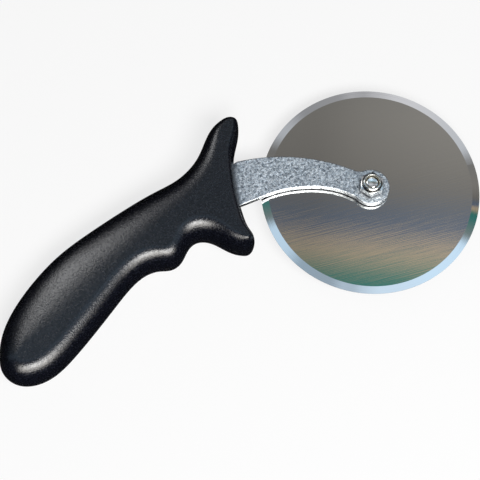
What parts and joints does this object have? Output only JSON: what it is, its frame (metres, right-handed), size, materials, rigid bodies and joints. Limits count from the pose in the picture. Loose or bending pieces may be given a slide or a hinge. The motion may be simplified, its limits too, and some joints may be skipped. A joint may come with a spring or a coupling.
{
  "type": "pizza cutter wheel",
  "caption": "Hand pizza cutter: a ground steel wheel free to turn on a bolt through a curved steel arm, with a black moulded handle shaped for the fingers and thumb.",
  "frame": {"origin": "middle of the bounding box's bottom face: on the plane of the handle's back land, on the line from the axle square to Y, halfway between the handle's butt and the wheel's rim", "axes": "+X from the handle's butt to the wheel, +Y to the thumb guard's side, +Z along the axle from the bolt's head to the nut, out of the side that the picture shows"},
  "size_m": [0.2338, 0.1016, 0.023],
  "materials": {
    "handle_plastic": "black moulded polypropylene with a fine spark-eroded grain",
    "arm_steel": "tumbled stamped steel, blue-grey with fine bright flecks",
    "wheel_steel": "finely ground and polished stainless steel, bevelled to the edge",
    "fastener_steel": "plain bright steel",
    "ring_nylon": "natural nylon",
    "bushing_steel": "turned stainless steel"
  },
  "bodies": {
    "frame": {"handle": "handle_plastic", "arm": "arm_steel", "axle_bolt": "fastener_steel", "lock_nut": "fastener_steel", "lock_ring": "ring_nylon", "pivot_bushing": "bushing_steel", "front_washer": "fastener_steel", "back_washer": "fastener_steel"},
    "wheel": {"cutting_wheel": "wheel_steel"}
  },
  "joints": [
    {"name": "wheel_spin", "type": "hinge", "parent": "frame", "child": "wheel", "pos_m": [0.066, 0, 0.0088], "axis": [0, 0, 1], "continuous": true}
  ]
}
